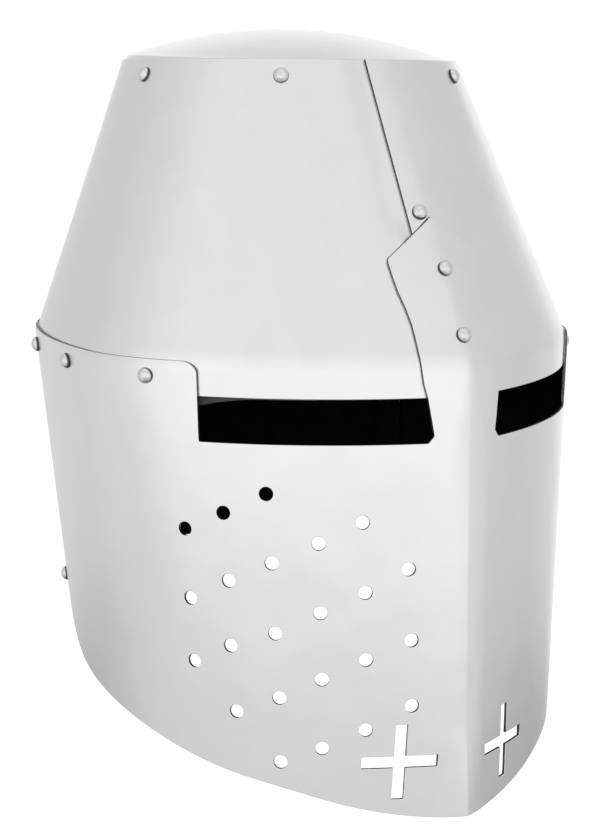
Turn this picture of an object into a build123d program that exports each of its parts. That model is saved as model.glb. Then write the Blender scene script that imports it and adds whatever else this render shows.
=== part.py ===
from build123d import *
import os
from math import cos, radians, sin

# A riveted great helm. The origin lies level with the lowest point of the front,
# on the upright axis through the widest part of the brow. The face looks along -Y,
# +X is the wearer's left, +Z is up. All lengths are in millimetres.

# Sheet steel
plate = 1.6
lap_gap = 0.2
overrun = 20.0

# Levels
ring_height = 320.0
brow_height = 196.5
sight_top = 181.8
sight_foot = 163.1

# Level outline at the crown ring
crown_front = 46.8
crown_half_width = 76.4
crown_middle = 30.0
crown_rear = 112.0
crown_nose_angle = 2.9
crown_nose_share = 0.553
crown_cheek_share = 0.56

# Level outline at the brow bend
brow_front = 110.8
brow_half_width = 121.3
brow_middle = 0.0
brow_rear = 168.0
brow_nose_angle = 8.4
brow_nose_share = 0.449
brow_cheek_share = 0.466

# Level outline at the height of the front tip
hem_front = 115.6
hem_half_width = 103.0
hem_middle = 3.6
hem_rear = 127.6
hem_nose_angle = 25.2
hem_nose_share = 0.537
hem_cheek_share = 0.674

# Both outlines close at the nape in a quarter ellipse
round_share = 0.5523
walk_steps = 100

# Skull sheet: its right end is tucked behind its left end at the front
seam_offset = 9.4
tuck_length = 9.0
tuck_start_share = 0.2
tuck_end_share = 0.085

# Nasal bar, from the sights up over the cone
nasal_foot_half_width = 15.8
nasal_foot_rise = 3.0
nasal_corner = 2.4
nasal_half_width = 17.6
nasal_brow_half_width = 18.9
nasal_waist_rise = 15.5
nasal_flare_rise = 14.0
nasal_flare_half_width = 21.6
nasal_shoulder_rise = 14.5
nasal_shoulder_half_width = 24.6
nasal_apex_rise = 14.2
nasal_margin = 15.0
nasal_waist_height = brow_height + nasal_waist_rise
nasal_flare_height = nasal_waist_height + nasal_flare_rise
nasal_shoulder_height = nasal_flare_height + nasal_shoulder_rise
nasal_apex_height = nasal_shoulder_height + nasal_apex_rise

# Step where the face plate rises to the rim beside each sight
step_front = 56.0
step_radius = 5.0

# Side seams, as shares of the rear quarter of the outline: the front margin
# of the rear plate is set inwards below the skull and lies behind the face plate
rear_edge_share = 0.335
seam_rivet_share = 0.36
face_edge_share = 0.385
margin_end_share = 0.39
rear_start_share = 0.415

# Lower edge, arched over the shoulders
arch_height = 83.0
arch_shares = [
    (-1.12, 0.0),
    (-0.97, 0.002),
    (-0.87, 0.047),
    (-0.72, 0.158),
    (-0.575, 0.23),
    (-0.43, 0.293),
    (-0.15, 0.399),
    (0.05, 0.458),
    (0.15, 0.488),
    (0.41, 0.6),
    (0.8, 0.945),
    (0.97, 1.0),
    (1.12, 0.953),
    (1.27, 0.83),
]

# Breaths, on the right of the face only, one row to a line: distance round from the ridge
# as a share of the brow's half width, and height as a share of the brow's height
breath_radius = 3.0
breath_shares = [
    (0.715, 0.724), (0.866, 0.679), (1.009, 0.637),
    (0.383, 0.664), (0.534, 0.619), (0.696, 0.574), (0.848, 0.531), (0.993, 0.484),
    (0.221, 0.56), (0.373, 0.511), (0.528, 0.467), (0.684, 0.42), (0.843, 0.387), (0.983, 0.343),
    (0.209, 0.403), (0.369, 0.363), (0.523, 0.32), (0.671, 0.277), (0.824, 0.24),
    (0.206, 0.257), (0.369, 0.206), (0.522, 0.166), (0.668, 0.133),
]

# Crosses, for the toggles of guard chains
cross_reach = 30.2
cross_height = 25.8
cross_span = 33.0
cross_arm = 5.2

# Crown cap
cap_flange = 13.0
cap_rise = 14.0
cap_centre = 37.0
notch_right = 32.0
notch_left = 10.5

# Rivets
head_radius = 3.4
head_rise = 3.0
shank_radius = 1.9
tail_radius = 2.9
tail_rise = 1.1
shank_play = 0.1
head_play = 0.05
tail_play = 0.12
crown_rivet_drop = 7.0
crown_rivet_reaches = [48.5, 120.0, 195.0]
skull_rivet_rise = 1.7
skull_rivet_reach = 3.7
nasal_rivet_drops = [21.0, 47.6]
rim_rivet_drop = 7.1
temple_rivet_reach = 139.7
ear_rivet_shares = [0.07, 0.29]
nape_rivet_shares = [0.515, 0.748]
side_rivet_height = 77.0

# Liner
leather = 2.2
soft_play = 0.3
band_top_drop = 2.5
band_foot_drop = 19.5
band_front_drop = 11.5
band_rise_half_width = 84.0
band_rise_slope_width = 12.0
band_deep_share = 0.22
band_shallow_share = 0.36
washer_radius = 5.0
washer_thickness = 0.8
tongue_foot_drop = 16.5
tongue_bend_rise = 2.5
tongue_top_drop = 32.0
tongue_width_share = 0.864
tongue_tip_width = 6.5
tongue_tip_radius = 22.0
front_tongue_share = 0.569
dome_shares = [(0.0, 1.0), (0.3, 0.86), (0.6, 0.66), (0.85, 0.42), (1.0, 0.17)]
disc_radius = 32.0
head_centre = 28.0
band_top = brow_height - band_top_drop
band_foot = brow_height - band_foot_drop
band_front_foot = brow_height - band_front_drop
tongue_foot = brow_height - tongue_foot_drop
tongue_bend = brow_height + tongue_bend_rise
tongue_top = ring_height - tongue_top_drop

os.makedirs("parts", exist_ok=True)


def half_outline(front, half_width, middle, rear, nose_angle, nose_share, cheek_share, outwards):
    """Control points of the left half of a level outline, from the ridge to the nape."""
    nose = front + outwards
    side = half_width + outwards
    nape = rear + outwards
    angle = radians(nose_angle)
    cheek = nose_share * side
    return [
        Vector(0, -nose),
        Vector(cheek * cos(angle), -nose + cheek * sin(angle)),
        Vector(side, middle - cheek_share * (nose + middle)),
        Vector(side, middle),
        Vector(side, middle + round_share * (nape - middle)),
        Vector(round_share * side, nape),
        Vector(0, nape),
    ]


def crown_outline(outwards):
    return half_outline(
        crown_front, crown_half_width, crown_middle, crown_rear,
        crown_nose_angle, crown_nose_share, crown_cheek_share, outwards,
    )


def brow_outline(outwards):
    return half_outline(
        brow_front, brow_half_width, brow_middle, brow_rear,
        brow_nose_angle, brow_nose_share, brow_cheek_share, outwards,
    )


def hem_outline(outwards):
    return half_outline(
        hem_front, hem_half_width, hem_middle, hem_rear,
        hem_nose_angle, hem_nose_share, hem_cheek_share, outwards,
    )


def mixed(first, second, share):
    """Points that lie between two lists of points."""
    return [a + (b - a) * share for a, b in zip(first, second)]


def cone(height, outwards):
    """Half outline of the sloping skull at a height."""
    share = (height - brow_height) / (ring_height - brow_height)
    return mixed(brow_outline(outwards), crown_outline(outwards), share)


def wall(height, outwards):
    """Half outline of the nearly upright lower walls at a height."""
    return mixed(hem_outline(outwards), brow_outline(outwards), height / brow_height)


def part_of(points, start, end):
    """Control points of the stretch of a cubic curve between two shares of it."""

    def blossom(a, b, c):
        row = list(points)
        for share in (a, b, c):
            row = mixed(row[:-1], row[1:], share)
        return row[0]

    return [
        blossom(start, start, start),
        blossom(start, start, end),
        blossom(start, end, end),
        blossom(end, end, end),
    ]


def joggle(from_curve, to_curve):
    """A curve that leaves one line and joins another, smoothly at both ends."""
    return [from_curve[0], from_curve[1], to_curve[2], to_curve[3]]


def mirrored(curve):
    return [Vector(-point.X, point.Y) for point in curve]


def point_on(curve, share):
    return part_of(curve, share, share)[0]


def level_face(height, curves):
    """Level face inside a closed chain of curves, kept apart so that lofts join equal shares."""
    edges = [Bezier(*curve, mode=Mode.PRIVATE) for curve in curves]
    return Plane.XY.offset(height) * Face(Wire(edges))


def sheet_section(height, outer, inner):
    """Level face of a sheet between two chains of curves, with straight ends."""
    ends = [[outer[0][0], inner[0][0]], [outer[-1][-1], inner[-1][-1]]]
    return level_face(height, outer + inner + ends)


def ring_section(height, half):
    """Level face inside a closed outline, from the curves of its left half."""
    return level_face(height, half + [mirrored(curve) for curve in half])


def solid_between(line, low, high, outwards, mode=Mode.ADD):
    """Ruled solid that fills a level outline between two heights."""
    sections = []
    for height in (low, high):
        points = line(height, outwards)
        sections.append(ring_section(height, [points[:4], points[3:]]))
    loft(sections, ruled=True, mode=mode)


def share_at(curve, reach):
    """Share of a curve at a distance along it."""
    walked = 0.0
    before = curve[0]
    for step in range(1, walk_steps + 1):
        after = point_on(curve, step / walk_steps)
        stride = (after - before).length
        if walked + stride >= reach:
            return (step - 1 + (reach - walked) / stride) / walk_steps
        walked += stride
        before = after
    return 1.0


def arc_length(curve):
    """Length of a curve, walked in short steps."""
    spots = [point_on(curve, step / walk_steps) for step in range(walk_steps + 1)]
    return sum((b - a).length for a, b in zip(spots[:-1], spots[1:]))


def spot(line, height, reach, outwards, rear_share=None):
    """Plane on the sheet: X along the sheet, Y up it, Z outwards.

    A negative reach or a negative rear share lies on the wearer's right.
    """
    points = line(height, outwards)
    above = line(height + plate, outwards)
    if rear_share is None:
        quarter = slice(0, 4)
        side = -1 if reach < 0 else 1
        share = abs(reach)
        front_length = arc_length(points[quarter])
        if share > front_length:
            quarter = slice(3, 7)
            share = share_at(points[quarter], share - front_length)
        else:
            share = share_at(points[quarter], share)
    else:
        quarter = slice(3, 7)
        side = -1 if rear_share < 0 else 1
        share = abs(rear_share)
    here = point_on(points[quarter], share)
    higher = point_on(above[quarter], share)
    stretch = part_of(points[quarter], max(share - 1 / walk_steps, 0), min(share + 1 / walk_steps, 1))
    along = stretch[-1] - stretch[0]
    along = Vector(side * along.X, along.Y, 0) * side
    origin = Vector(side * here.X, here.Y, height)
    up = Vector(side * (higher.X - here.X), higher.Y - here.Y, plate)
    return Plane(origin=origin, x_dir=along, z_dir=along.cross(up))


def ridge_spot(line, height, outwards):
    """Plane on the ridge, facing straight forwards."""
    here = line(height, outwards)[0]
    above = line(height + plate, outwards)[0]
    up = Vector(0, above.Y - here.Y, plate)
    along = Vector(1, 0, 0)
    return Plane(origin=Vector(0, here.Y, height), x_dir=along, z_dir=along.cross(up))


def rivet(seat, grip):
    """Round-headed rivet on a seat plane, its shank closed over behind the grip."""
    lift = head_play
    foot = -grip - tail_play
    side_plane = Plane(origin=seat.origin, x_dir=seat.x_dir, z_dir=-seat.y_dir)
    with BuildSketch(side_plane) as profile:
        with BuildLine():
            TangentArc((0, lift + head_rise), (head_radius, lift), tangent=(1, 0))
            TangentArc((0, foot - tail_rise), (tail_radius, foot), tangent=(1, 0))
            Line((0, lift + head_rise), (0, foot - tail_rise))
            Line((tail_radius, foot), (shank_radius, foot))
            Line((shank_radius, foot), (shank_radius, lift))
            Line((shank_radius, lift), (head_radius, lift))
        make_face()
    revolve(profile.sketch, axis=Axis(seat.origin, seat.z_dir))


def rivet_holes(seats):
    """Holes for rivet shanks through whatever sheet is being made."""
    with Locations(*seats):
        Cylinder(shank_radius + shank_play, overrun, mode=Mode.SUBTRACT)


def cut_lower_edge():
    """Trims a lower plate along the arched edge, seen from the side."""
    edge = [(y * hem_front, z * arch_height) for y, z in arch_shares]
    with BuildSketch(Plane.YZ) as side_view:
        with BuildLine():
            Spline(*edge)
            Polyline(
                edge[-1],
                (edge[-1][0] + overrun, edge[-1][1]),
                (edge[-1][0] + overrun, -overrun),
                (edge[0][0], -overrun),
                edge[0],
            )
        make_face()
    extrude(side_view.sketch, amount=brow_half_width + overrun, both=True, mode=Mode.SUBTRACT)


# Offsets of each sheet's faces from the skull's outer face, which the outlines describe
skull_inner = -plate
tuck_outer = -plate - lap_gap
tuck_inner = tuck_outer - plate
lower_inner = lap_gap
lower_outer = lap_gap + plate
margin_outer = lower_inner - lap_gap
margin_inner = margin_outer - plate
flange_outer = -plate - lap_gap
flange_inner = flange_outer - plate
rim_rivet_height = brow_height - rim_rivet_drop

# Where the rivets sit
crown_seats = [
    spot(cone, ring_height - crown_rivet_drop, side * reach, 0)
    for side in (-1, 1) for reach in crown_rivet_reaches
]
skull_seats = [spot(cone, nasal_apex_height + skull_rivet_rise, -skull_rivet_reach, 0)]
nasal_seats = [ridge_spot(cone, nasal_apex_height - drop, lower_outer) for drop in nasal_rivet_drops]
temple_seats = [spot(wall, rim_rivet_height, side * temple_rivet_reach, lower_outer) for side in (-1, 1)]
temple_seats += [
    spot(wall, rim_rivet_height, 0, lower_outer, side * share)
    for side in (-1, 1) for share in ear_rivet_shares
]
nape_seats = [
    spot(wall, rim_rivet_height, 0, lower_outer, side * share)
    for side in (-1, 1) for share in nape_rivet_shares
]
nape_seats += [spot(wall, rim_rivet_height, 0, lower_outer, 1)]
side_seats = [spot(wall, side_rivet_height, 0, lower_outer, side * seam_rivet_share) for side in (-1, 1)]
rim_seats = temple_seats + nape_seats

# Skull: one sheet rolled into a cone and bent down into a band at the brow
def rolled_sheet(line, height):
    """Curves of the skull sheet at a height, outer and inner, from its left to its right end."""
    outer_line = line(height, 0)
    inner_line = line(height, skull_inner)
    tucked_outer = line(height, tuck_outer)
    tucked_inner = line(height, tuck_inner)
    seam = share_at(outer_line[:4], seam_offset)
    end = share_at(outer_line[:4], tuck_length)

    def chain(plain, tucked):
        front = plain[:4]
        rear = plain[3:]
        tuck = tucked[:4]
        return [
            mirrored(part_of(front, seam, 0)),
            front,
            rear,
            mirrored(rear[::-1]),
            mirrored(part_of(front, 1, tuck_start_share)),
            mirrored(joggle(
                part_of(front, tuck_start_share, tuck_end_share),
                part_of(tuck, tuck_start_share, tuck_end_share),
            )),
            mirrored(part_of(tuck, tuck_end_share, 0)),
            part_of(tuck, 0, end),
        ]

    return chain(outer_line, tucked_outer), chain(inner_line, tucked_inner)


with BuildPart() as skull_plate:
    for line, low, high in ((wall, sight_top, brow_height), (cone, brow_height, ring_height)):
        loft([sheet_section(height, *rolled_sheet(line, height)) for height in (low, high)], ruled=True)
    rivet_holes(crown_seats + skull_seats + nasal_seats + rim_seats)

# Crown cap: a shallow dome whose flange stands inside the top of the cone
dome_radius = (crown_half_width ** 2 + cap_rise ** 2) / (2 * cap_rise)
dome_centre = (0, cap_centre, ring_height + cap_rise - dome_radius)

with BuildPart() as cap_hollow:
    solid_between(cone, ring_height - cap_flange - overrun, ring_height + cap_rise, flange_inner)
    with Locations(dome_centre):
        Sphere(dome_radius - plate, mode=Mode.INTERSECT)

with BuildPart() as lap_notch:
    solid_between(cone, ring_height - cap_flange - overrun, ring_height + cap_rise, 0)
    solid_between(
        cone, ring_height - cap_flange - overrun, ring_height + cap_rise, tuck_inner - lap_gap,
        mode=Mode.SUBTRACT,
    )
    with BuildSketch(Plane.XZ.offset(-head_centre)):
        with BuildLine():
            Polyline(
                (-notch_right, ring_height + overrun),
                (notch_left, ring_height + overrun),
                (notch_left, ring_height - cap_flange - overrun),
                (-notch_right, ring_height - cap_flange - overrun),
                (-notch_right, ring_height + overrun),
            )
        make_face()
    extrude(amount=brow_front + head_centre, mode=Mode.INTERSECT)

with BuildPart() as crown_cap:
    solid_between(cone, ring_height - cap_flange, ring_height + cap_rise, flange_outer)
    with Locations(dome_centre):
        Sphere(dome_radius, mode=Mode.INTERSECT)
    add(cap_hollow.part, mode=Mode.SUBTRACT)
    add(lap_notch.part, mode=Mode.SUBTRACT)
    rivet_holes(crown_seats)

# Face plate: wraps the front from side seam to side seam, with the nasal bar in one piece
nasal_outline = [
    (nasal_foot_half_width + nasal_corner, sight_foot - nasal_margin),
    (nasal_foot_half_width + nasal_corner, sight_foot),
    (nasal_foot_half_width, sight_foot + nasal_foot_rise),
    (nasal_half_width, sight_top),
    (nasal_brow_half_width, brow_height),
    (nasal_brow_half_width, nasal_waist_height),
    (nasal_flare_half_width, nasal_flare_height),
    (nasal_shoulder_half_width, nasal_shoulder_height),
    (0, nasal_apex_height),
]

with BuildPart() as nasal_block:
    with BuildSketch(Plane.XZ):
        with BuildLine():
            Polyline(*nasal_outline, (0, sight_foot - nasal_margin), nasal_outline[0])
        make_face()
        mirror(about=Plane.YZ)
    extrude(amount=brow_front + overrun)

with BuildPart() as nasal_bar:
    solid_between(cone, brow_height, nasal_apex_height + plate, lower_outer)
    solid_between(cone, brow_height, nasal_apex_height + plate, lower_inner, mode=Mode.SUBTRACT)
    add(nasal_block.part, mode=Mode.INTERSECT)

with BuildPart() as sight_cutter:
    with BuildSketch(Plane.YZ):
        with BuildLine():
            Polyline(
                (step_radius - step_front, brow_height),
                (step_radius - step_front, brow_height + overrun),
                (-brow_front - overrun, brow_height + overrun),
                (-brow_front - overrun, sight_foot),
                (-step_front, sight_foot),
                (-step_front, brow_height - step_radius),
            )
            RadiusArc(
                (-step_front, brow_height - step_radius),
                (step_radius - step_front, brow_height),
                step_radius,
            )
        make_face()
    extrude(amount=brow_half_width + overrun, both=True)
    add(nasal_block.part, mode=Mode.SUBTRACT)


def face_section(height):
    """Level face of the face plate, from its left edge round the ridge to its right edge."""
    chains = []
    for outwards in (lower_outer, lower_inner):
        half = wall(height, outwards)
        half = [half[:4], part_of(half[3:], 0, face_edge_share)]
        chains.append([mirrored(curve[::-1]) for curve in half[::-1]] + half)
    return sheet_section(height, *chains)


with BuildPart() as face_plate:
    loft([face_section(height) for height in (0, brow_height)], ruled=True)
    cut_lower_edge()
    add(sight_cutter.part, mode=Mode.SUBTRACT)
    add(nasal_bar.part)
    for reach_share, rise_share in breath_shares:
        with Locations(spot(wall, rise_share * brow_height, -reach_share * brow_half_width, lower_outer)):
            Cylinder(breath_radius, overrun, mode=Mode.SUBTRACT)
    for side in (-1, 1):
        with BuildSketch(spot(wall, cross_height, side * cross_reach, lower_outer)):
            Rectangle(cross_span, cross_arm)
            Rectangle(cross_arm, cross_span)
        extrude(amount=overrun / 2, both=True, mode=Mode.SUBTRACT)
    rivet_holes(nasal_seats + temple_seats + side_seats)

# Rear plate: round the nape, its front margins stepped in behind the face plate
def rear_section(height, with_margin):
    """Level face of the rear plate, from one front edge round the nape to the other."""
    chains = []
    for outwards, inset in ((lower_outer, margin_outer), (lower_inner, margin_inner)):
        plain = wall(height, outwards)[3:]
        margin = wall(height, inset)[3:]
        half = [part_of(plain, rear_start_share, 1)]
        if with_margin:
            step = joggle(
                part_of(margin, margin_end_share, rear_start_share),
                part_of(plain, margin_end_share, rear_start_share),
            )
            half = [part_of(margin, rear_edge_share, margin_end_share), step] + half
        chains.append(half + [mirrored(curve[::-1]) for curve in half[::-1]])
    return sheet_section(height, *chains)


margin_top = sight_top - lap_gap

with BuildPart() as rear_plate:
    loft([rear_section(height, True) for height in (0, margin_top)], ruled=True)
    loft([rear_section(height, False) for height in (margin_top, brow_height)], ruled=True)
    cut_lower_edge()
    rivet_holes(nape_seats + side_seats)

# Rivets
steel_pair = 2 * plate + lap_gap
steel_triple = 3 * plate + 2 * lap_gap
lining = soft_play + leather + soft_play + washer_thickness

with BuildPart() as crown_rivets:
    for seat in crown_seats:
        rivet(seat, steel_pair)

with BuildPart() as skull_lap_rivet:
    for seat in skull_seats:
        rivet(seat, steel_pair)

with BuildPart() as nasal_rivets:
    for seat in nasal_seats:
        rivet(seat, steel_triple)

with BuildPart() as temple_rivets:
    for seat in temple_seats:
        rivet(seat, steel_pair + lining)

with BuildPart() as nape_rivets:
    for seat in nape_seats:
        rivet(seat, steel_pair + lining)

with BuildPart() as side_seam_rivets:
    for seat in side_seats:
        rivet(seat, steel_pair)

# Liner band, held against the inside of the skull by the rim rivets
band_outer = skull_inner - soft_play
deep_outer = tuck_inner - soft_play


def band_section(height, inwards):
    """Level face inside the band, eased inwards past the tucked sheet."""
    shallow = wall(height, band_outer - inwards)
    deep = wall(height, deep_outer - inwards)[:4]
    half = [
        part_of(deep, 0, band_deep_share),
        joggle(
            part_of(deep, band_deep_share, band_shallow_share),
            part_of(shallow[:4], band_deep_share, band_shallow_share),
        ),
        part_of(shallow[:4], band_shallow_share, 1),
        shallow[3:],
    ]
    return ring_section(height, half)


with BuildPart() as liner_band:
    for inwards, mode in ((0, Mode.ADD), (leather, Mode.SUBTRACT)):
        loft([band_section(height, inwards) for height in (band_foot, band_top)], ruled=True, mode=mode)
    with BuildSketch(Plane.XZ):
        with BuildLine():
            Polyline(
                (band_rise_half_width, band_foot - plate),
                (band_rise_half_width, band_foot),
                (band_rise_half_width - band_rise_slope_width, band_front_foot),
                (0, band_front_foot),
                (0, band_foot - plate),
                (band_rise_half_width, band_foot - plate),
            )
        make_face()
        mirror(about=Plane.YZ)
    extrude(amount=brow_front + overrun, mode=Mode.SUBTRACT)
    rivet_holes(rim_seats)

# Liner tongues: gores of one domed shell that rises from the band to the top of the head,
# each midway between two rim rivets, and one in front of the first rivet on each side
tongue_outer = band_outer - leather - soft_play
middle_of_head = Vector(0, head_centre, rim_rivet_height)
rim_places = [seat.origin - middle_of_head for seat in rim_seats if seat.origin.X > -plate]
rim_places.sort(key=lambda place: place.Y)
rim_gaps = [(after - before).length for before, after in zip(rim_places[:-1], rim_places[1:])]
straight_ahead = Vector(0, -rim_places[0].length)
tongue_ways = [straight_ahead + (rim_places[0] - straight_ahead) * front_tongue_share]
tongue_ways += [before + after for before, after in zip(rim_places[:-1], rim_places[1:])]
tongue_width = tongue_width_share * (min(rim_gaps) - 2 * washer_radius)


def dome_section(height, share, outwards, lift):
    """Level face inside the domed shell, drawn in towards the middle of the head."""
    middle = Vector(0, head_centre)
    points = [middle + (point - middle) * share for point in wall(height, outwards)]
    return ring_section(height + lift, [points[:4], points[3:]])


def domed_solid(inwards):
    """Solid under the domed shell, all of it a little lower and narrower by the inward offset."""
    outwards = tongue_outer - inwards
    sections = [dome_section(tongue_foot - inwards, 1.0, outwards, 0)]
    for rise_share, width_share in dome_shares:
        height = tongue_bend + (tongue_top - tongue_bend) * rise_share
        sections.append(dome_section(height, width_share, outwards, -inwards))
    for low, high in zip(sections[:-1], sections[1:]):
        loft([low, high], ruled=True)


with BuildPart() as dome_inside:
    domed_solid(leather)

with BuildPart() as liner_dome:
    domed_solid(0)
    add(dome_inside.part, mode=Mode.SUBTRACT)

tongues = []
for side in (-1, 1):
    for way in tongue_ways:
        with BuildPart() as tongue:
            add(liner_dome.part)
            with BuildSketch(Plane(origin=(0, head_centre), x_dir=(side * way.X, way.Y), z_dir=(0, 0, 1))):
                with BuildLine():
                    Polyline(
                        (tongue_tip_radius, tongue_tip_width / 2),
                        (brow_half_width, tongue_width / 2),
                        (brow_rear, tongue_width / 2),
                        (brow_rear, -tongue_width / 2),
                        (brow_half_width, -tongue_width / 2),
                        (tongue_tip_radius, -tongue_tip_width / 2),
                        (tongue_tip_radius, tongue_tip_width / 2),
                    )
                make_face()
            extrude(amount=ring_height, mode=Mode.INTERSECT)
        tongues.append(tongue.part)

# Crown disc of the liner, on top of the tongue ends
with BuildPart() as liner_disc:
    with BuildSketch(Plane.XY.offset(tongue_top + soft_play)):
        with Locations((0, head_centre)):
            Circle(disc_radius)
    extrude(amount=leather)

# Washers under the closed ends of the rim rivets
with BuildPart() as liner_washers:
    for seat in rim_seats:
        back = seat.offset(-steel_pair - soft_play - leather - soft_play)
        with BuildSketch(back):
            Circle(washer_radius)
            Circle(shank_radius + shank_play, mode=Mode.SUBTRACT)
        extrude(amount=-washer_thickness)

pieces = {
    "skull_plate": skull_plate.part,
    "crown_cap": crown_cap.part,
    "face_plate": face_plate.part,
    "rear_plate": rear_plate.part,
    "crown_rivets": crown_rivets.part,
    "skull_lap_rivet": skull_lap_rivet.part,
    "nasal_rivets": nasal_rivets.part,
    "temple_rivets": temple_rivets.part,
    "nape_rivets": nape_rivets.part,
    "side_seam_rivets": side_seam_rivets.part,
    "liner_band": liner_band.part,
    "liner_disc": liner_disc.part,
    "liner_washers": liner_washers.part,
}
for number, piece in enumerate(tongues, 1):
    pieces[f"liner_tongue_{number}"] = piece

for name, piece in pieces.items():
    piece.label = name
    export_step(piece, f"parts/{name}.step")
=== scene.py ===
import random
from math import cos, pi, radians, sin, tau

import bmesh
import bpy
import numpy as np
from mathutils import Matrix, Vector


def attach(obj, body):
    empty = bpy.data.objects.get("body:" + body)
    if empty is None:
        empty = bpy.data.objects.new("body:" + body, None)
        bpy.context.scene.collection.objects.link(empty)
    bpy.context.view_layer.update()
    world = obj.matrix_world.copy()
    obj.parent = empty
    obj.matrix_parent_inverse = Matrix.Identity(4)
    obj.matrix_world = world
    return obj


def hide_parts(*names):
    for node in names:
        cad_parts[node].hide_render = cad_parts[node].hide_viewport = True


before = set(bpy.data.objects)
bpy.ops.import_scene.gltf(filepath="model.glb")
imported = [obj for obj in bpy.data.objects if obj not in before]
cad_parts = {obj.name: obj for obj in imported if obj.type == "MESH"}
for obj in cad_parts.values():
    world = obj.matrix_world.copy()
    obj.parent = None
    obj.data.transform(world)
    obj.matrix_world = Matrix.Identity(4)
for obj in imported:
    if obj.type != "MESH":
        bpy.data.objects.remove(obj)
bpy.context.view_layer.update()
random.seed(7)

# A riveted great helm, dressed over its CAD solids. Each plate is cut as a flat pattern,
# given its thickness and rounded edges, and then bent to the helm's outline.
# Lengths below are in millimetres, and bend() turns them into metres.
MM = 0.001

PLATE = 1.6
LAP_GAP = 0.2
RING = 320.0
BROW = 196.5
SIGHT_TOP = 181.8
SIGHT_FOOT = 163.1
LOWER = LAP_GAP + PLATE
TUCKED = -PLATE - LAP_GAP
BROW_BEND = 4.0

# The ridge is rolled over: half width of the roll on the cone and low on the wall, the share of
# the sharp ridge that is kept, what the foot adds to it, and how far each takes to come in
RIDGE_BEND = 2.6
LOW_RIDGE_BEND = 12.0
RIDGE_BEND_EASE = 50.0
CREASE = 0.25
CREASE_EASE = 60.0
FOOT_CREASE = 0.5
FOOT_CREASE_TOP = 45.0

SIDES = (-1, 1)
EDGE_ROUND = 0.45
ROUND_SHARE = 0.5523

# How finely a wall is measured
LEVEL_MARGIN = 20
LEVEL_COUNT = 25
SHARE_COUNT = 241
SEARCH_COUNT = 400


def half_outline(front, half_width, middle, rear, nose_angle, nose_share, cheek_share, outwards):
    """Control points of the left half of a level outline, from the ridge to the nape."""
    nose = front + outwards
    side = half_width + outwards
    nape = rear + outwards
    angle = radians(nose_angle)
    cheek = nose_share * side
    return np.array([
        (0, -nose),
        (cheek * cos(angle), -nose + cheek * sin(angle)),
        (side, middle - cheek_share * (nose + middle)),
        (side, middle),
        (side, middle + ROUND_SHARE * (nape - middle)),
        (ROUND_SHARE * side, nape),
        (0, nape),
    ])


CROWN_SHAPE = (46.8, 76.4, 30.0, 112.0, 2.9, 0.553, 0.56)
BROW_SHAPE = (110.8, 121.3, 0.0, 168.0, 8.4, 0.449, 0.466)
HEM_SHAPE = (115.6, 103.0, 3.6, 127.6, 25.2, 0.537, 0.674)


def smooth(value, low, high):
    t = np.clip((value - low) / (high - low), 0, 1)
    return t * t * (3 - 2 * t)


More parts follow.
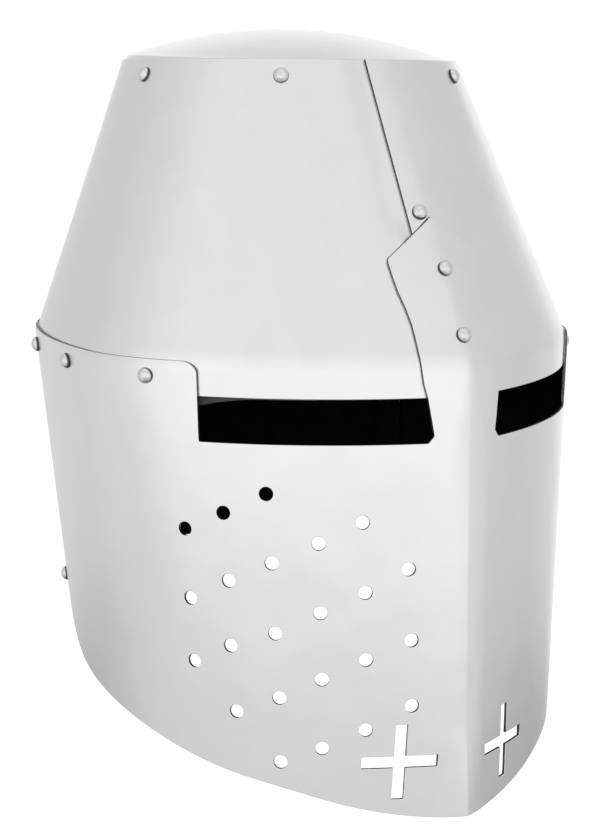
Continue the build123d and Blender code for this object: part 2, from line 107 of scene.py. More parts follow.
class Wall:
    """A stretch of the helm between two level outlines, addressed by arc length and height."""

    def __init__(self, low, high, low_shape, high_shape, reference):
        self.low = low
        self.high = high
        self.base = [half_outline(*shape, 0) for shape in (low_shape, high_shape)]
        self.grow = [half_outline(*shape, 1) - base for shape, base in
                     zip((low_shape, high_shape), self.base)]
        self.levels = np.linspace(low - LEVEL_MARGIN, high + LEVEL_MARGIN, LEVEL_COUNT)
        self.shares = np.linspace(0, 2, SHARE_COUNT)
        rows = [self.at_share(self.shares, np.full(SHARE_COUNT, z), reference) for z in self.levels]
        self.lengths = np.array([
            np.concatenate(([0], np.cumsum(np.hypot(*np.diff(row, axis=0).T)))) for row in rows
        ])

    def at_share(self, share, height, outwards):
        """Points at a share of the outline: 0 to 1 is the front quarter, 1 to 2 the rear."""
        share = np.clip(share, 0, 2)
        mix = ((height - self.low) / (self.high - self.low))[:, None, None]
        grown = [base[None] + grow[None] * np.broadcast_to(outwards, share.shape)[:, None, None]
                 for base, grow in zip(self.base, self.grow)]
        controls = grown[0] * (1 - mix) + grown[1] * mix
        rear = share > 1
        t = (share - rear)[:, None]
        quarter = np.where(rear[:, None, None], controls[:, 3:7], controls[:, 0:4])
        return ((1 - t) ** 3 * quarter[:, 0] + 3 * t * (1 - t) ** 2 * quarter[:, 1]
                + 3 * t ** 2 * (1 - t) * quarter[:, 2] + t ** 3 * quarter[:, 3])

    def between_levels(self, height):
        """Number of the level below each height, and how far the height is on to the next one."""
        place = (height - self.levels[0]) / (self.levels[1] - self.levels[0])
        place = np.clip(place, 0, LEVEL_COUNT - 1.001)
        row = place.astype(int)
        return row, place - row

    def share(self, reach, height):
        """Share of the outline at an arc length from the ridge."""
        row, part = self.between_levels(height)
        low = np.empty(len(reach))
        high = np.empty(len(reach))
        for level in np.unique(row):
            here = row == level
            low[here] = np.interp(reach[here], self.lengths[level], self.shares)
            high[here] = np.interp(reach[here], self.lengths[level + 1], self.shares)
        return low * (1 - part) + high * part

    def reach(self, share, height):
        """Arc length from the ridge at one share of the outline and one height."""
        row, part = self.between_levels(np.array([height]))
        ends = [np.interp(share, self.shares, self.lengths[row[0] + step]) for step in (0, 1)]
        return ends[0] * (1 - part[0]) + ends[1] * part[0]

    def half_length(self, height):
        """Arc length from the ridge to the nape, for each height."""
        row, part = self.between_levels(height)
        return self.lengths[row, -1] * (1 - part) + self.lengths[row + 1, -1] * part

    def reach_where(self, axis, value, height, outwards):
        """Arc length where x or y (axis 0 or 1) has a value in the front quarter."""
        line = np.linspace(0, 1, SEARCH_COUNT)
        points = self.at_share(line, np.full(SEARCH_COUNT, height), outwards)[:, axis]
        return self.reach(np.interp(value, points, line), height)

    def bent(self, reach, height, depth, rule):
        """Points at signed arc lengths, with the ridge rolled over.

        rule(share, side) says how far outwards the sheet's outer face lies.
        """
        side = np.where(reach < 0, -1.0, 1.0)
        away = np.abs(reach)
        drop = BROW - height
        roll = RIDGE_BEND + (LOW_RIDGE_BEND - RIDGE_BEND) * smooth(drop, 0.0, RIDGE_BEND_EASE)
        crease = CREASE * smooth(drop, 0.0, CREASE_EASE)
        crease += FOOT_CREASE * smooth(FOOT_CREASE_TOP - height, 0.0, FOOT_CREASE_TOP)
        share = self.share(np.maximum(away, roll), height)
        points = self.at_share(share, height, rule(share, side) - depth)
        points[:, 0] *= side
        near = away < roll
        if near.any():
            t = (reach[near] + roll[near]) / (2 * roll[near])
            flat = np.zeros(near.sum())
            keel = self.at_share(flat, height[near], rule(flat, side[near]) - depth[near])
            x = np.abs(points[near, 0])
            y = points[near, 1]
            points[near, 0] = (2 * t - 1) * x
            round_share = 2 * t * (1 - t)
            sharp_share = 1 - np.abs(2 * t - 1)
            towards_keel = round_share + (sharp_share - round_share) * crease[near]
            points[near, 1] = (1 - towards_keel) * y + towards_keel * keel[:, 1]
        return points


skull_wall = Wall(0, BROW, HEM_SHAPE, BROW_SHAPE, 0)
skull_cone = Wall(BROW, RING, BROW_SHAPE, CROWN_SHAPE, 0)
plate_wall = Wall(0, BROW, HEM_SHAPE, BROW_SHAPE, LOWER)
plate_cone = Wall(BROW, RING, BROW_SHAPE, CROWN_SHAPE, LOWER)


def folded(wall, cone, reach, height, depth, rule):
    """Points on the wall and on the cone above it, with the brow bend rounded over.

    reach(wall, height) gives the signed arc lengths at a height of the wall or the cone.
    """
    points = np.empty((len(height), 3))
    points[:, 2] = height
    below = height < BROW - BROW_BEND
    above = height > BROW + BROW_BEND
    for part, chosen in ((wall, below), (cone, above)):
        if chosen.any():
            levels = height[chosen]
            points[chosen, :2] = part.bent(reach(part, levels, chosen), levels, depth[chosen], rule)
    bend = ~(below | above)
    if bend.any():
        t = ((height[bend] - BROW + BROW_BEND) / (2 * BROW_BEND))[:, None]
        places = []
        for part, level in ((wall, BROW - BROW_BEND), (wall, BROW), (cone, BROW + BROW_BEND)):
            levels = np.full(bend.sum(), level)
            places.append(part.bent(reach(part, levels, bend), levels, depth[bend], rule))
        foot, knee, head = places
        points[bend, :2] = (1 - t) ** 2 * foot + 2 * t * (1 - t) * knee + t ** 2 * head
    return points


def laid(wall, cone, reach, height, depth, rule):
    """Points of a sheet that is laid out by signed arc lengths from the ridge."""
    return folded(wall, cone, lambda part, levels, chosen: reach[chosen], height, depth, rule)


# Shader maths

class Sock:
    """A socket that can stand in sums and products."""

    def __init__(self, nodes, socket):
        self.nodes = nodes
        self.socket = socket

    def math(self, operation, other):
        return self.nodes.add("ShaderNodeMath", {"operation": operation}, {0: self, 1: other})

    def __add__(self, other):
        return self.math("ADD", other)

    def __sub__(self, other):
        return self.math("SUBTRACT", other)

    def __mul__(self, other):
        return self.math("MULTIPLY", other)

    def __rsub__(self, other):
        return self.nodes.add("ShaderNodeMath", {"operation": "SUBTRACT"}, {0: other, 1: self})

    __radd__ = __add__

    def ramp(self, low, high):
        """0 below low, 1 above high, smooth between."""
        return self.nodes.add(
            "ShaderNodeMapRange", {"interpolation_type": "SMOOTHSTEP"},
            {"Value": self, "From Min": low, "From Max": high},
        )


class Nodes:
    """The nodes of one material or world."""

    def __init__(self, tree):
        self.tree = tree
        tree.nodes.clear()

    def add(self, kind, settings=None, inputs=None, output=0):
        """One node, with its settings first and then the values or links of its sockets."""
        node = self.tree.nodes.new(kind)
        for name, value in (settings or {}).items():
            setattr(node, name, value)
        for name, value in (inputs or {}).items():
            if isinstance(value, Sock):
                self.tree.links.new(value.socket, node.inputs[name])
            else:
                node.inputs[name].default_value = value
        return Sock(self, node.outputs[output]) if len(node.outputs) else None

    def place(self, stretch=(1, 1, 1)):
        """Object coordinates, scaled by stretch."""
        where = self.add("ShaderNodeTexCoord", output="Object")
        return self.add("ShaderNodeMapping", {}, {"Vector": where, "Scale": stretch})

    def noise(self, where, scale, detail=3.0, roughness=0.5):
        return self.add("ShaderNodeTexNoise", {}, {
            "Vector": where, "Scale": scale, "Detail": detail, "Roughness": roughness,
        })

    def colours(self, factor, first, second):
        """The first colour where the factor is 0, the second where it is 1."""
        mix = self.tree.nodes.new("ShaderNodeMix")
        mix.data_type = "RGBA"
        self.tree.links.new(factor.socket, mix.inputs["Factor"])
        for socket, value in ((mix.inputs[6], first), (mix.inputs[7], second)):
            if isinstance(value, Sock):
                self.tree.links.new(value.socket, socket)
            else:
                socket.default_value = (*value, 1)
        return Sock(self, mix.outputs[2])

    def bump(self, height, distance, strength=1.0, normal=None):
        inputs = {"Height": height, "Distance": distance, "Strength": strength}
        if normal:
            inputs["Normal"] = normal
        return self.add("ShaderNodeBump", {}, inputs)

    def surface(self, inputs):
        shader = self.add("ShaderNodeBsdfPrincipled", {}, inputs)
        self.add("ShaderNodeOutputMaterial", {}, {"Surface": shader})


def material(name):
    made = bpy.data.materials.new(name)
    made.use_nodes = True
    return made, Nodes(made.node_tree)


def satin_steel():
    """Polished sheet, hammered smooth: slow waves in the surface and fine polishing marks."""
    made, nodes = material("satin_steel")
    place = nodes.place()
    waves = nodes.noise(place, 26, 1.5, 0.45)
    marks = nodes.noise(nodes.place((1, 1, 0.12)), 1500, 2.0, 0.6)
    strokes = nodes.noise(nodes.place((1, 1, 0.1)), 75, 2.0, 0.5)
    cloud = nodes.noise(place, 60, 4.0, 0.6)
    colour = nodes.colours(cloud.ramp(0.3, 0.7), (0.735, 0.735, 0.74), (0.755, 0.755, 0.755))
    normal = nodes.bump(marks, 0.00002, 0.35)
    normal = nodes.bump(strokes, 0.0003, 0.25, normal)
    normal = nodes.bump(waves, 0.0012, 0.5, normal)
    nodes.surface({
        "Base Color": colour,
        "Metallic": 1.0,
        "Roughness": 0.22 + cloud * 0.06,
        "Normal": normal,
    })
    return made


def polished_steel():
    """Rivet heads: brighter and a little dented."""
    made, nodes = material("polished_steel")
    place = nodes.place()
    dents = nodes.noise(place, 420, 1.0, 0.4)
    cloud = nodes.noise(place, 900, 3.0, 0.6)
    colour = nodes.colours(cloud.ramp(0.35, 0.65), (0.6, 0.6, 0.61), (0.7, 0.7, 0.7))
    nodes.surface({
        "Base Color": colour,
        "Metallic": 1.0,
        "Roughness": 0.12 + cloud * 0.06,
        "Normal": nodes.bump(dents, 0.0006, 0.3),
    })
    return made


def painted_edge_shade():
    """Cut edges of the sheets and the feet of the rivets, painted dark: painted shade of the gaps along the
    rims and round the rivets.
    """
    made, nodes = material("painted_edge_shade")
    grain = nodes.noise(nodes.place(), 700, 3.0, 0.6)
    nodes.surface({
        "Base Color": nodes.colours(grain.ramp(0.35, 0.65), (0.1, 0.1, 0.1), (0.16, 0.16, 0.16)),
        "Metallic": 0.9,
        "Roughness": 0.45,
    })
    return made


def painted_inside_shade():
    """Inside faces, painted near-black as painted shade of the helm's dark inside."""
    made, nodes = material("painted_inside_shade")
    place = nodes.place()
    scale = nodes.noise(place, 90, 6.0, 0.65)
    grain = nodes.noise(place, 700, 4.0, 0.6)
    colour = nodes.colours(scale.ramp(0.3, 0.72), (0.002, 0.002, 0.002), (0.006, 0.006, 0.006))
    nodes.surface({
        "Base Color": colour,
        "Specular IOR Level": 0.15,
        "Roughness": 0.6 + grain * 0.2,
        "Normal": nodes.bump(grain, 0.0003, 0.5),
    })
    return made


def worn_leather():
    """Dark leather with pores and creases, rubbed paler in places."""
    made, nodes = material("worn_leather")
    place = nodes.place()
    pores = nodes.add("ShaderNodeTexVoronoi", {"feature": "F1"}, {"Vector": place, "Scale": 900.0})
    creases = nodes.noise(place, 130, 6.0, 0.65)
    wear = nodes.noise(place, 35, 4.0, 0.6).ramp(0.42, 0.7)
    colour = nodes.colours(wear, (0.055, 0.052, 0.05), (0.11, 0.105, 0.1))
    colour = nodes.colours(creases.ramp(0.55, 0.75) * 0.5, colour, (0.03, 0.027, 0.025))
    normal = nodes.bump(pores, 0.0004, 0.4)
    normal = nodes.bump(creases, 0.0012, 0.4, normal)
    nodes.surface({
        "Base Color": colour,
        "Roughness": 0.62 + wear * 0.16,
        "Specular IOR Level": 0.35,
        "Normal": normal,
    })
    return made


def cut_leather():
    """Cut edges of the leather, paler than its face."""
    made, nodes = material("cut_leather")
    grain = nodes.noise(nodes.place(), 500, 4.0, 0.6)
    nodes.surface({
        "Base Color": nodes.colours(grain.ramp(0.3, 0.7), (0.16, 0.145, 0.13), (0.24, 0.22, 0.2)),
        "Roughness": 0.75,
        "Specular IOR Level": 0.3,
    })
    return made


STEEL = satin_steel()
RIVET_STEEL = polished_steel()
EDGE_SHADE = painted_edge_shade()
INSIDE_SHADE = painted_inside_shade()
LEATHER = worn_leather()
LEATHER_CUT = cut_leather()
# Sheets: steel outside, near-black painted shade on the inner face, dark painted shade on the cut rims
SHEET = (STEEL, INSIDE_SHADE, EDGE_SHADE)
HIDE = (LEATHER, LEATHER, LEATHER_CUT)


# Cutting and bending

def spline(points, values):
    """Heights of a smooth curve through points, at values of its first coordinate."""
    x, y = np.array(points, float).T
    gap = np.diff(x)
    rows = np.zeros((len(x), len(x)))
    right = np.zeros(len(x))
    rows[0, 0] = rows[-1, -1] = 1
    for i in range(1, len(x) - 1):
        rows[i, i - 1:i + 2] = gap[i - 1], 2 * (gap[i - 1] + gap[i]), gap[i]
        right[i] = 3 * ((y[i + 1] - y[i]) / gap[i] - (y[i] - y[i - 1]) / gap[i - 1])
    curve = np.linalg.solve(rows, right)
    i = np.clip(np.searchsorted(x, values) - 1, 0, len(x) - 2)
    step = values - x[i]
    slope = (y[i + 1] - y[i]) / gap[i] - gap[i] * (2 * curve[i] + curve[i + 1]) / 3
    return y[i] + step * (slope + step * (curve[i] + step * (curve[i + 1] - curve[i]) / (3 * gap[i])))


def cut_pattern(outline, holes, thickness):
    """A flat sheet with its holes, its top face at height zero."""
    for tilt in (0.1, 0.3, 0.5, 0.7, 0.9):
        # Points on one level line can upset the fill, so the pattern is filled at a slant
        slant = Matrix.Rotation(tilt, 3, "Z")
        bm = bmesh.new()
        for loop in [outline] + holes:
            verts = [bm.verts.new(slant @ Vector((u, v, 0))) for u, v in loop]
            for first, second in zip(verts, verts[1:] + verts[:1]):
                bm.edges.new((first, second))
        rim = len(bm.edges)
        bmesh.ops.triangle_fill(bm, use_beauty=True, edges=bm.edges[:], normal=(0, 0, 1))
        if sum(len(edge.link_faces) == 1 for edge in bm.edges) == rim:
            break
        bm.free()
    bmesh.ops.transform(bm, matrix=slant.inverted().to_4x4(), verts=bm.verts[:])
    bmesh.ops.recalc_face_normals(bm, faces=bm.faces[:])
    bmesh.ops.solidify(bm, geom=bm.faces[:], thickness=thickness)
    top = max(vert.co.z for vert in bm.verts)
    bmesh.ops.translate(bm, vec=(0, 0, -top), verts=bm.verts[:])
    bmesh.ops.recalc_face_normals(bm, faces=bm.faces[:])
    return bm


def round_rim(bm, width, segments=2):
    """Rounds every edge between the flat faces and the cut rim of a flat sheet."""
    bm.normal_update()
    rim = [edge for edge in bm.edges if len(edge.link_faces) == 2
           and abs(abs(edge.link_faces[0].normal.z) - abs(edge.link_faces[1].normal.z)) > 0.7]
    bmesh.ops.bevel(
        bm, geom=rim, offset=width, offset_type="OFFSET", segments=segments, profile=0.5,
        affect="EDGES", material=-1, clamp_overlap=True,
    )


def slice_up(bm, across, up):
    """Cuts the flat sheet into strips, so that it can bend."""
    for values, axis in ((up, 1), (across, 0)):
        normal = [0, 0, 0]
        normal[axis] = 1
        for value in values:
            point = [0, 0, 0]
            point[axis] = value
            bmesh.ops.bisect_plane(
                bm, geom=bm.verts[:] + bm.edges[:] + bm.faces[:], dist=1e-5,
                plane_co=point, plane_no=normal,
            )


def finish_number(face):
    """0 for a flat sheet's outer face and its rounded edges, 1 for its inner face, 2 for its cut rim."""
    if abs(face.normal.z) < 0.3:
        return 2
    return 1 if face.normal.z < -0.9 else 0


def mesh_of(bm, name, finishes):
    """A mesh from a bmesh, which is freed."""
    mesh = bpy.data.meshes.new(name)
    bm.to_mesh(mesh)
    bm.free()
    for made in finishes:
        mesh.materials.append(made)
    return mesh


def bend(bm, place, name, finishes, slot):
    """Bends a flat sheet with place(u, v, depth), and shades it by the bent surface's own normals."""
    bm.normal_update()
    top = max(vert.co.z for vert in bm.verts)
    low = min(vert.co.z for vert in bm.verts)
    flat = np.array([vert.co for vert in bm.verts])
    lean = np.array([vert.normal for vert in bm.verts])
    lean[flat[:, 2] > top - 1e-4] = (0, 0, 1)
    lean[flat[:, 2] < low + 1e-4] = (0, 0, -1)
    u, v, depth = flat[:, 0], flat[:, 1], -flat[:, 2]
    step = 0.25
    points = place(u, v, depth)
    along = place(u + step, v, depth) - place(u - step, v, depth)
    up = place(u, v + step, depth) - place(u, v - step, depth)
    along /= np.linalg.norm(along, axis=1)[:, None]
    outwards = np.cross(along, up)
    outwards /= np.linalg.norm(outwards, axis=1)[:, None]
    square = np.cross(outwards, along)
    normals = lean[:, :1] * along + lean[:, 1:2] * square + lean[:, 2:] * outwards
    for face in bm.faces:
        face.smooth = True
        face.material_index = finish_number(face)
    for vert, point in zip(bm.verts, points):
        vert.co = point * MM
    mesh = mesh_of(bm, name, finishes)
    mesh.normals_split_custom_set_from_vertices(normals)
    return finish(mesh, name, slot)


def finish(mesh, name, slot):
    """An object for a finished mesh, fixed to the helm."""
    piece = bpy.data.objects.new(name, mesh)
    bpy.context.scene.collection.objects.link(piece)
    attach(piece, "root")
    return piece


def mirrored(half):
    """The other half of a flat pattern, point for point backwards."""
    return [(-u, v) for u, v in reversed(half)]


def steps(low, high, size):
    """Even steps from low to high, each about size long."""
    return list(np.linspace(low, high, max(2, int(round(abs(high - low) / size)) + 1)))


# Lower edge: height over y, seen from the side
ARCH = [
    (-129.5, 0.0), (-112.1, 0.2), (-100.6, 3.9), (-83.2, 13.1), (-66.5, 19.1), (-49.7, 24.3), (-17.3, 33.1),
    (5.8, 38.0), (17.3, 40.5), (47.4, 49.8), (92.5, 78.4), (112.1, 83.0), (129.5, 79.1), (146.8, 68.9),
]


def arch_height(points_at, count):
    """Heights of the lower edge, where points_at(heights) gives the points of the wall there."""
    heights = np.full(count, 30.0)
    for _ in range(12):
        heights = 0.5 * heights + 0.5 * spline(ARCH, points_at(heights)[:, 1])
    return np.maximum(heights, 0.0)


FACE_EDGE_SHARE = 1.385
REAR_EDGE_SHARE = 1.335
MARGIN_END_SHARE = 1.39
REAR_START_SHARE = 1.415
MARGIN_TOP = 181.6

# The rear plate's lower edge stands a little higher round one place on the wearer's left
HIGH_SIDE = 3.6
HIGH_SIDE_Y = 92.5
HIGH_SIDE_REACH = 26.0


def level_rule(outwards):
    """A rule for a sheet that lies equally far outwards everywhere."""
    return lambda share, side: np.full(len(share), float(outwards))


lower_rule = level_rule(LOWER)


def rear_rule(share, side):
    """The rear plate's front margins are stepped in, to lie behind the face plate."""
    return LOWER * smooth(share, MARGIN_END_SHARE, REAR_START_SHARE)


def place_face(u, v, depth):
    return laid(plate_wall, plate_cone, u, v, depth, lower_rule)


NASAL_APEX = 254.5

# Where a sight ends beside the step of the face plate, and the round of the step's corner
SIGHT_END_Y = -56.0
STEP_CORNER = 5.0

# Edges of the nasal bar on the wearer's left and right: distance from the middle, and height
NASAL_LEFT = (
    (16.6, 172.0), (17.6, SIGHT_TOP), (17.9, 190.0), (18.15, 199.0), (18.3, 206.0), (18.45, 212.0),
    (18.8, 219.0), (19.4, 225.5), (20.5, 232.0), (21.8, 239.0), (21.8, 240.7), (21.2, 241.6), (1.0, 254.1),
)
NASAL_RIGHT = (
    (16.8, 172.0), (18.6, SIGHT_TOP), (20.3, 188.0), (21.2, 194.0), (21.4, 200.5), (21.2, 206.0),
    (21.1, 212.0), (21.9, 218.5), (23.2, 225.0), (23.8, 231.0), (24.1, 236.3), (24.0, 237.6),
    (23.4, 238.5), (1.0, 254.1),
)


def face_outline():
    """The face plate and nasal bar as a flat pattern, arc length across and height up."""
    edge = plate_wall.reach(FACE_EDGE_SHARE, 40.0)
    reach = np.array(steps(0, edge, 4.0))
    zero = np.zeros(len(reach))
    lower = arch_height(lambda z: plate_wall.bent(reach, z, zero, lower_rule), len(reach))
    half = list(zip(reach[1:-1], lower[1:-1]))
    foot = lower[-1]
    for _ in range(6):
        edge = plate_wall.reach(FACE_EDGE_SHARE, foot)
        ends = np.array([edge])
        foot = arch_height(lambda z: plate_wall.bent(ends, z, np.zeros(1), lower_rule), 1)[0]
    half += [(plate_wall.reach(FACE_EDGE_SHARE, z), z) for z in steps(foot, BROW, 12.0)]

    def reach_at_y(y, z):
        return plate_wall.reach_where(1, y, z, LOWER)

    def reach_at_x(x, z):
        part = plate_wall if z <= BROW else plate_cone
        return part.reach_where(0, x, z, LOWER)

    corner_y = SIGHT_END_Y + STEP_CORNER
    back = plate_wall.reach(FACE_EDGE_SHARE, BROW)
    half += [(s, BROW) for s in steps(back, reach_at_y(corner_y, BROW), 8.0)[1:-1]]
    for turn in range(7):
        angle = radians(15 * turn)
        z = BROW - STEP_CORNER + STEP_CORNER * cos(angle)
        half.append((reach_at_y(corner_y - STEP_CORNER * sin(angle), z), z))
    half += [(reach_at_y(SIGHT_END_Y, z), z) for z in (185.0, 178.0, 171.0, 164.0)]
    half.append((reach_at_y(SIGHT_END_Y, SIGHT_FOOT + 0.3) - 0.3, SIGHT_FOOT))
    half += [(reach_at_x(x, z), z) for x, z in (
        (18.5, SIGHT_FOOT), (18.0, SIGHT_FOOT + 0.25), (15.95, SIGHT_FOOT + 2.7), (15.8, SIGHT_FOOT + 3.4),
    )]
    left, right = (half + [(reach_at_x(x, z), z) for x, z in side] for side in (NASAL_LEFT, NASAL_RIGHT))
    return [(0, lower[0])] + left + [(0, NASAL_APEX)] + mirrored(right)


def circle(u, v, radius, count=40):
    turns = [tau * i / count for i in range(count)]
    return [(u + radius * cos(turn), v + radius * sin(turn)) for turn in turns]


def cross(u, v, span, arm, lean):
    """A cross with arms of equal length, its upright leaning a little."""
    a = span / 2
    b = arm / 2
    quarter = [(b, b), (b, a), (-b, a), (-b, b)]
    corners = []
    for turn in range(4):
        for x, y in quarter[:3]:
            for _ in range(turn):
                x, y = -y, x
            corners.append((u + x + lean * y, v + y))
    return corners


# Breaths, one row to a line: distance round from the ridge, and height
BREATHS = [
    (86.7, 142.3), (105.0, 133.4), (122.4, 125.2),
    (46.5, 130.5), (64.8, 121.6), (84.4, 112.8), (102.9, 104.3), (120.5, 95.1),
    (26.8, 110.0), (45.2, 100.4), (64.0, 91.8), (83.0, 82.5), (102.3, 76.0), (119.2, 67.4),
    (25.4, 79.2), (44.8, 71.3), (63.4, 62.9), (81.4, 54.4), (100.0, 47.2),
    (25.0, 50.5), (44.8, 40.5), (63.3, 32.6), (81.0, 26.1),
]
BREATH_RADIUS = 3.0

CROSS_REACH = 30.2
CROSS_HEIGHT = 25.8
CROSS_SPAN = 33.0
CROSS_ARM = 5.2

# Lean of the cross on the wearer's right and on the left
CROSS_LEANS = (0.06, 0.0)


def face_holes():
    holes = [circle(-reach, height, BREATH_RADIUS) for reach, height in BREATHS]
    return holes + [cross(side * CROSS_REACH, CROSS_HEIGHT, CROSS_SPAN, CROSS_ARM, lean)
                    for side, lean in zip(SIDES, CROSS_LEANS)]


def make_face_plate():
    outline = face_outline()
    bm = cut_pattern(outline, face_holes(), PLATE)
    round_rim(bm, EDGE_ROUND)
    reach = max(u for u, v in outline)
    fine = steps(-12.5, -3.5, 1.0) + steps(-2.4, 2.4, 0.6) + steps(3.5, 12.5, 1.0)
    across = fine + [side * s for s in steps(15.0, reach - 1, 4.5) for side in SIDES]
    up = steps(6.0, 186.0, 9.0) + steps(190.5, 202.5, 1.5) + steps(210.0, 250.0, 8.0)
    slice_up(bm, sorted(across), up)
    piece = bend(bm, place_face, "face_plate_dressed", SHEET, "steel")
    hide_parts("face_plate")


make_face_plate()


def place_rear(u, v, depth):
    """Arc length is measured from the nape here, to the wearer's right."""
    half = plate_wall.half_length(v)
    reach = np.where(u > 0, -1.0, 1.0) * (half - np.abs(u))
    return laid(plate_wall, plate_cone, reach, v, depth, rear_rule)


def make_rear_plate():
    def from_nape(share, z):
        return plate_wall.reach(2.0, z) - plate_wall.reach(share, z)

    edge = from_nape(REAR_EDGE_SHARE, 70.0)
    reach = np.array(steps(0, edge, 4.0))
    lower = arch_height(lambda z: place_rear(reach, z, np.zeros(len(reach))), len(reach))
    low = list(zip(reach[1:-1], lower[1:-1]))
    y = place_rear(reach, lower, np.zeros(len(reach)))[1:-1, 1]
    rise = HIGH_SIDE * smooth(HIGH_SIDE_REACH - np.abs(y - HIGH_SIDE_Y), 0.0, HIGH_SIDE_REACH)
    high = [(s, z + more) for (s, z), more in zip(low, rise)]
    half = [(from_nape(REAR_EDGE_SHARE, z), z) for z in steps(lower[-1], MARGIN_TOP, 12.0)]
    half += [(from_nape(REAR_START_SHARE, z), z) for z in steps(MARGIN_TOP, BROW, 5.0)]
    half += [(s, BROW) for s in steps(half[-1][0], 0, 8.0)[1:-1]]
    outline = [(0, lower[0])] + low + half + [(0, BROW)] + mirrored(half) + mirrored(high)
    bm = cut_pattern(outline, [], PLATE)
    round_rim(bm, EDGE_ROUND)
    width = max(u for u, v in outline)
    across = steps(-width + 1, width - 1, 4.5)
    start = from_nape(REAR_START_SHARE, 120.0)
    end = from_nape(MARGIN_END_SHARE, 120.0)
    across += [side * s for side in SIDES for s in steps(start - 4, end + 4, 1.2)]
    slice_up(bm, sorted(across), steps(70.0, 178.0, 9.0) + [182.5, 186.0] + steps(190.5, 195.0, 1.5))
    piece = bend(bm, place_rear, "rear_plate_dressed", SHEET, "steel")
    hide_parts("rear_plate")


make_rear_plate()


# Skull: one sheet rolled round, its right end tucked behind its left end at the front

SKULL_LENGTH = 400.0
SEAM_OFFSET = 9.4
TUCK_LENGTH = 9.0
TUCK_SHARES = (0.085, 0.2)

# Under the nasal bar it steps in within the bar's width. That begins between these depths below
# the bar's apex
CLOSE_TUCK_SHARES = (0.065, 0.105)
CLOSE_TUCK_DEPTHS = (4.0, 14.0)


def tuck_rule(shares):
    """A rule that steps the wearer's right end in behind the left end, between two shares."""
    return lambda share, side: np.where(side < 0, TUCKED * (1 - smooth(share, *shares)), 0.0)


plain_rule = level_rule(0)
end_rule = level_rule(TUCKED)
tucked_rule = tuck_rule(TUCK_SHARES)
close_rule = tuck_rule(CLOSE_TUCK_SHARES)


def place_skull(u, v, depth):
    """u runs once round the helm: 0 is the ridge, SKULL_LENGTH the nape, twice that the ridge again."""
    turn = u / SKULL_LENGTH

    def reach(part, levels, chosen):
        half = part.half_length(levels)
        way = turn[chosen] * half
        return np.where(way > half, way - 2 * half, way)

    def points(rule):
        return folded(skull_wall, skull_cone, reach, v, depth, rule)

    tucked = points(tucked_rule)
    tucked += (points(close_rule) - tucked) * smooth(NASAL_APEX - v, *CLOSE_TUCK_DEPTHS)[:, None]
    placed = points(plain_rule)
    placed[turn > 1.0] = tucked[turn > 1.0]
    placed[turn > 2.0] = points(end_rule)[turn > 2.0]
    return placed


def make_skull():
    start = []
    end = []
    for z in steps(SIGHT_TOP, RING, 10.0):
        part = skull_wall if z <= BROW else skull_cone
        scale = SKULL_LENGTH / part.reach(2.0, z)
        start.append((-part.reach_where(0, SEAM_OFFSET, z, 0.0) * scale, z))
        end.append((2 * SKULL_LENGTH + TUCK_LENGTH * scale, z))
    low = [(u, SIGHT_TOP) for u in steps(start[0][0], end[0][0], 8.0)[1:-1]]
    top = [(u, RING) for u in steps(end[-1][0], start[-1][0], 8.0)[1:-1]]
    outline = low + end + top + start[::-1]
    bm = cut_pattern(outline, [], PLATE)
    round_rim(bm, EDGE_ROUND)
    across = steps(-4.2, 4.2, 0.7) + steps(8.0, 2 * SKULL_LENGTH - 30.0, 4.5)
    across += [2 * SKULL_LENGTH + u for u in steps(-27.0, -6.0, 1.5)]
    across += [2 * SKULL_LENGTH + u for u in steps(-4.2, 4.2, 1.4)]
    up = steps(184.0, 188.0, 4.0) + steps(190.5, 202.5, 1.5) + steps(210.0, 312.0, 11.0)
    slice_up(bm, across, up)
    piece = bend(bm, place_skull, "skull_plate_dressed", SHEET, "steel")
    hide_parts("skull_plate")


make_skull()


# Turned pieces

def turned(profile, count):
    """A closed shape turned from a profile of (radius, height) points, with both ends on the axis."""
    bm = bmesh.new()
    verts = [bm.verts.new((radius, 0, height)) for radius, height in profile]
    edges = [bm.edges.new(pair) for pair in zip(verts, verts[1:])]
    bmesh.ops.spin(
        bm, geom=verts + edges, cent=(0, 0, 0), axis=(0, 0, 1), dvec=(0, 0, 0),
        angle=tau, steps=count, use_merge=True,
    )
    bmesh.ops.remove_doubles(bm, verts=bm.verts[:], dist=1e-4)
    bmesh.ops.recalc_face_normals(bm, faces=bm.faces[:])
    for face in bm.faces:
        face.smooth = True
    return bm


CAP_SPAN = 76.4
CAP_RISE = 14.0
CAP_EDGE = 2.6
CAP_FLANGE = 13.0
CAP_FOOT_ROUND = 0.5
CAP_MIDDLE = 33.0
DOME_MIDDLE = 37.0


